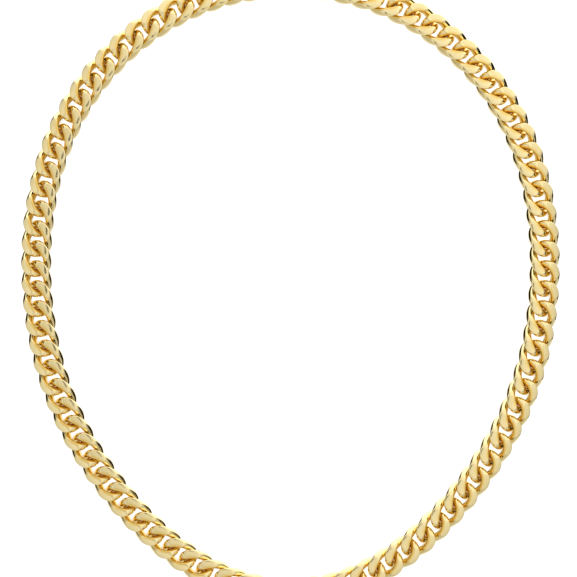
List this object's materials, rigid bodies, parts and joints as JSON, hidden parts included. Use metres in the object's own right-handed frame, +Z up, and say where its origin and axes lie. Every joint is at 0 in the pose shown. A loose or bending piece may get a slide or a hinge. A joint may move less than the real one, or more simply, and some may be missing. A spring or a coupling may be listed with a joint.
{
  "type": "chain necklace",
  "caption": "Flattened curb chain necklace in a closed egg-shaped loop, with a box clasp and a figure-eight safety latch.",
  "frame": {"origin": "middle of the neck opening, on the table", "axes": "+Y across the loop towards the clasp, +Z up from the table, +X to the right with the clasp at the top"},
  "size_m": [0.1406, 0.1687, 0.0056],
  "materials": {
    "gold": "polished yellow gold plate",
    "spring": "fine brushed spring sheet"
  },
  "bodies": {
    "bottom": {"bottom_links": "gold"},
    "right_01": {"right_links_01": "gold"},
    "right_02": {"right_links_02": "gold"},
    "right_03": {"right_links_03": "gold"},
    "right_04": {"right_links_04": "gold"},
    "right_05": {"right_links_05": "gold"},
    "right_06": {"right_links_06": "gold"},
    "right_07": {"right_links_07": "gold"},
    "right_08": {"right_links_08": "gold"},
    "right_09": {"right_links_09": "gold"},
    "right_10": {"right_links_10": "gold"},
    "right_11": {"right_links_11": "gold"},
    "right_12": {"right_links_12": "gold"},
    "right_13": {"right_links_13": "gold"},
    "right_14": {"right_links_14": "gold"},
    "right_15": {"right_links_15": "gold"},
    "right_16": {"right_links_16": "gold"},
    "right_17": {"right_links_17": "gold"},
    "right_18": {"right_links_18": "gold"},
    "right_19": {"right_links_19": "gold"},
    "right_20": {"right_links_20": "gold"},
    "left_01": {"left_links_01": "gold"},
    "left_02": {"left_links_02": "gold"},
    "left_03": {"left_links_03": "gold"},
    "left_04": {"left_links_04": "gold"},
    "left_05": {"left_links_05": "gold"},
    "left_06": {"left_links_06": "gold"},
    "left_07": {"left_links_07": "gold"},
    "left_08": {"left_links_08": "gold"},
    "left_09": {"left_links_09": "gold"},
    "left_10": {"left_links_10": "gold"},
    "left_11": {"left_links_11": "gold"},
    "left_12": {"left_links_12": "gold"},
    "left_13": {"left_links_13": "gold"},
    "left_14": {"left_links_14": "gold"},
    "left_15": {"left_links_15": "gold"},
    "left_16": {"left_links_16": "gold"},
    "left_17": {"left_links_17": "gold"},
    "left_18": {"left_links_18": "gold"},
    "left_19": {"left_links_19": "gold"},
    "left_20": {"left_links_20": "gold"},
    "box": {"clasp_box": "gold", "box_end_plate": "gold", "box_end_link": "gold", "latch_hinge_tube": "gold"},
    "tongue": {"tongue_plate": "gold", "tongue_leaf": "spring", "tongue_end_link": "gold", "latch_stud": "gold"},
    "spring_leaf": {"tongue_spring": "spring", "release_button": "gold"},
    "safety_latch": {"safety_latch": "gold"}
  },
  "joints": [
    {"name": "right_fold_01", "type": "hinge", "parent": "bottom", "child": "right_01", "pos_m": [0.0078, -0.07936, 0.00235], "axis": [0.1272, -0.9919, 0], "range_deg": [-5, 5]},
    {"name": "right_fold_02", "type": "hinge", "parent": "right_01", "child": "right_02", "pos_m": [0.01777, -0.07626, 0.00235], "axis": [-0.2565, 0.9665, 0], "range_deg": [-5, 5]},
    {"name": "right_fold_03", "type": "hinge", "parent": "right_02", "child": "right_03", "pos_m": [0.02692, -0.07121, 0.00235], "axis": [0.3826, -0.9239, 0], "range_deg": [-5, 5]},
    {"name": "right_fold_04", "type": "hinge", "parent": "right_03", "child": "right_04", "pos_m": [0.03517, -0.06478, 0.00235], "axis": [-0.504, 0.8637, 0], "range_deg": [-5, 5]},
    {"name": "right_fold_05", "type": "hinge", "parent": "right_04", "child": "right_05", "pos_m": [0.04254, -0.05736, 0.00235], "axis": [0.6186, -0.7857, 0], "range_deg": [-5, 5]},
    {"name": "right_fold_06", "type": "hinge", "parent": "right_05", "child": "right_06", "pos_m": [0.04906, -0.04918, 0.00235], "axis": [-0.7239, 0.69, 0], "range_deg": [-5, 5]},
    {"name": "right_fold_07", "type": "hinge", "parent": "right_06", "child": "right_07", "pos_m": [0.05468, -0.04037, 0.00235], "axis": [0.8165, -0.5773, 0], "range_deg": [-5, 5]},
    {"name": "right_fold_08", "type": "hinge", "parent": "right_07", "child": "right_08", "pos_m": [0.05929, -0.03098, 0.00235], "axis": [-0.8934, 0.4492, 0], "range_deg": [-5, 5]},
    {"name": "right_fold_09", "type": "hinge", "parent": "right_08", "child": "right_09", "pos_m": [0.06276, -0.02111, 0.00235], "axis": [0.9514, -0.308, 0], "range_deg": [-5, 5]},
    {"name": "right_fold_10", "type": "hinge", "parent": "right_09", "child": "right_10", "pos_m": [0.06505, -0.01091, 0.00235], "axis": [-0.9876, 0.1568, 0], "range_deg": [-5, 5]},
    {"name": "right_fold_11", "type": "hinge", "parent": "right_10", "child": "right_11", "pos_m": [0.06622, -0.00051, 0.00235], "axis": [1, 0, 0], "range_deg": [-5, 5]},
    {"name": "right_fold_12", "type": "hinge", "parent": "right_11", "child": "right_12", "pos_m": [0.06633, 0.00994, 0.00235], "axis": [-0.9876, -0.1568, 0], "range_deg": [-5, 5]},
    {"name": "right_fold_13", "type": "hinge", "parent": "right_12", "child": "right_13", "pos_m": [0.06535, 0.02036, 0.00235], "axis": [0.9514, 0.308, 0], "range_deg": [-5, 5]},
    {"name": "right_fold_14", "type": "hinge", "parent": "right_13", "child": "right_14", "pos_m": [0.06314, 0.03058, 0.00235], "axis": [-0.8934, -0.4492, 0], "range_deg": [-5, 5]},
    {"name": "right_fold_15", "type": "hinge", "parent": "right_14", "child": "right_15", "pos_m": [0.05956, 0.0404, 0.00235], "axis": [0.8165, 0.5773, 0], "range_deg": [-5, 5]},
    {"name": "right_fold_16", "type": "hinge", "parent": "right_15", "child": "right_16", "pos_m": [0.05456, 0.04958, 0.00235], "axis": [-0.7239, -0.69, 0], "range_deg": [-5, 5]},
    {"name": "right_fold_17", "type": "hinge", "parent": "right_16", "child": "right_17", "pos_m": [0.04819, 0.05787, 0.00235], "axis": [0.6186, 0.7857, 0], "range_deg": [-5, 5]},
    {"name": "right_fold_18", "type": "hinge", "parent": "right_17", "child": "right_18", "pos_m": [0.04058, 0.06504, 0.00235], "axis": [-0.504, -0.8637, 0], "range_deg": [-5, 5]},
    {"name": "right_fold_19", "type": "hinge", "parent": "right_18", "child": "right_19", "pos_m": [0.03194, 0.07091, 0.00235], "axis": [0.3826, 0.9239, 0], "range_deg": [-5, 5]},
    {"name": "right_fold_20", "type": "hinge", "parent": "right_19", "child": "right_20", "pos_m": [0.02247, 0.07534, 0.00235], "axis": [-0.2565, -0.9665, 0], "range_deg": [-5, 5]},
    {"name": "right_fold_21", "type": "hinge", "parent": "right_20", "child": "tongue", "pos_m": [0.01241, 0.07818, 0.00235], "axis": [0.1272, 0.9919, 0], "range_deg": [-5, 5]},
    {"name": "left_fold_01", "type": "hinge", "parent": "bottom", "child": "left_01", "pos_m": [-0.0078, -0.07936, 0.00235], "axis": [0.1272, 0.9919, 0], "range_deg": [-5, 5]},
    {"name": "left_fold_02", "type": "hinge", "parent": "left_01", "child": "left_02", "pos_m": [-0.01777, -0.07626, 0.00235], "axis": [-0.2565, -0.9665, 0], "range_deg": [-5, 5]},
    {"name": "left_fold_03", "type": "hinge", "parent": "left_02", "child": "left_03", "pos_m": [-0.02692, -0.07121, 0.00235], "axis": [0.3826, 0.9239, 0], "range_deg": [-5, 5]},
    {"name": "left_fold_04", "type": "hinge", "parent": "left_03", "child": "left_04", "pos_m": [-0.03517, -0.06478, 0.00235], "axis": [-0.504, -0.8637, 0], "range_deg": [-5, 5]},
    {"name": "left_fold_05", "type": "hinge", "parent": "left_04", "child": "left_05", "pos_m": [-0.04254, -0.05736, 0.00235], "axis": [0.6186, 0.7857, 0], "range_deg": [-5, 5]},
    {"name": "left_fold_06", "type": "hinge", "parent": "left_05", "child": "left_06", "pos_m": [-0.04906, -0.04918, 0.00235], "axis": [-0.7239, -0.69, 0], "range_deg": [-5, 5]},
    {"name": "left_fold_07", "type": "hinge", "parent": "left_06", "child": "left_07", "pos_m": [-0.05468, -0.04037, 0.00235], "axis": [0.8165, 0.5773, 0], "range_deg": [-5, 5]},
    {"name": "left_fold_08", "type": "hinge", "parent": "left_07", "child": "left_08", "pos_m": [-0.05929, -0.03098, 0.00235], "axis": [-0.8934, -0.4492, 0], "range_deg": [-5, 5]},
    {"name": "left_fold_09", "type": "hinge", "parent": "left_08", "child": "left_09", "pos_m": [-0.06276, -0.02111, 0.00235], "axis": [0.9514, 0.308, 0], "range_deg": [-5, 5]},
    {"name": "left_fold_10", "type": "hinge", "parent": "left_09", "child": "left_10", "pos_m": [-0.06505, -0.01091, 0.00235], "axis": [-0.9876, -0.1568, 0], "range_deg": [-5, 5]},
    {"name": "left_fold_11", "type": "hinge", "parent": "left_10", "child": "left_11", "pos_m": [-0.06622, -0.00051, 0.00235], "axis": [1, 0, 0], "range_deg": [-5, 5]},
    {"name": "left_fold_12", "type": "hinge", "parent": "left_11", "child": "left_12", "pos_m": [-0.06633, 0.00994, 0.00235], "axis": [-0.9876, 0.1568, 0], "range_deg": [-5, 5]},
    {"name": "left_fold_13", "type": "hinge", "parent": "left_12", "child": "left_13", "pos_m": [-0.06535, 0.02036, 0.00235], "axis": [0.9514, -0.308, 0], "range_deg": [-5, 5]},
    {"name": "left_fold_14", "type": "hinge", "parent": "left_13", "child": "left_14", "pos_m": [-0.06314, 0.03058, 0.00235], "axis": [-0.8934, 0.4492, 0], "range_deg": [-5, 5]},
    {"name": "left_fold_15", "type": "hinge", "parent": "left_14", "child": "left_15", "pos_m": [-0.05956, 0.0404, 0.00235], "axis": [0.8165, -0.5773, 0], "range_deg": [-5, 5]},
    {"name": "left_fold_16", "type": "hinge", "parent": "left_15", "child": "left_16", "pos_m": [-0.05456, 0.04958, 0.00235], "axis": [-0.7239, 0.69, 0], "range_deg": [-5, 5]},
    {"name": "left_fold_17", "type": "hinge", "parent": "left_16", "child": "left_17", "pos_m": [-0.04819, 0.05787, 0.00235], "axis": [0.6186, -0.7857, 0], "range_deg": [-5, 5]},
    {"name": "left_fold_18", "type": "hinge", "parent": "left_17", "child": "left_18", "pos_m": [-0.04058, 0.06504, 0.00235], "axis": [-0.504, 0.8637, 0], "range_deg": [-5, 5]},
    {"name": "left_fold_19", "type": "hinge", "parent": "left_18", "child": "left_19", "pos_m": [-0.03194, 0.07091, 0.00235], "axis": [0.3826, -0.9239, 0], "range_deg": [-5, 5]},
    {"name": "left_fold_20", "type": "hinge", "parent": "left_19", "child": "left_20", "pos_m": [-0.02247, 0.07534, 0.00235], "axis": [-0.2565, 0.9665, 0], "range_deg": [-5, 5]},
    {"name": "left_fold_21", "type": "hinge", "parent": "left_20", "child": "box", "pos_m": [-0.01241, 0.07818, 0.00235], "axis": [0.1272, -0.9919, 0], "range_deg": [-5, 5]},
    {"name": "release", "type": "hinge", "parent": "tongue", "child": "spring_leaf", "pos_m": [-0.0035, 0.07938, 0.00227], "axis": [0, 0.9703, -0.2419], "range_deg": [0, 4.5], "stiffness_Nm_per_rad": 0.02},
    {"name": "latch_swing", "type": "hinge", "parent": "box", "child": "safety_latch", "pos_m": [0.0033, 0.08397, 0.00209], "axis": [0, 0.2419, 0.9703], "range_deg": [0, 150]}
  ],
  "couplings": [
    {"joint": "left_fold_21", "follows": "right_fold_01", "ratio": 1},
    {"joint": "left_fold_20", "follows": "right_fold_02", "ratio": 1},
    {"joint": "left_fold_19", "follows": "right_fold_03", "ratio": 1},
    {"joint": "left_fold_18", "follows": "right_fold_04", "ratio": 1},
    {"joint": "left_fold_17", "follows": "right_fold_05", "ratio": 1},
    {"joint": "left_fold_16", "follows": "right_fold_06", "ratio": 1},
    {"joint": "left_fold_15", "follows": "right_fold_07", "ratio": 1},
    {"joint": "left_fold_14", "follows": "right_fold_08", "ratio": 1},
    {"joint": "left_fold_13", "follows": "right_fold_09", "ratio": 1},
    {"joint": "left_fold_12", "follows": "right_fold_10", "ratio": 1},
    {"joint": "left_fold_11", "follows": "right_fold_11", "ratio": 1},
    {"joint": "right_fold_12", "follows": "left_fold_10", "ratio": 1},
    {"joint": "right_fold_13", "follows": "left_fold_09", "ratio": 1},
    {"joint": "right_fold_14", "follows": "left_fold_08", "ratio": 1},
    {"joint": "right_fold_15", "follows": "left_fold_07", "ratio": 1},
    {"joint": "right_fold_16", "follows": "left_fold_06", "ratio": 1},
    {"joint": "right_fold_17", "follows": "left_fold_05", "ratio": 1},
    {"joint": "right_fold_18", "follows": "left_fold_04", "ratio": 1},
    {"joint": "right_fold_19", "follows": "left_fold_03", "ratio": 1},
    {"joint": "right_fold_20", "follows": "left_fold_02", "ratio": 1},
    {"joint": "right_fold_21", "follows": "left_fold_01", "ratio": 1}
  ]
}
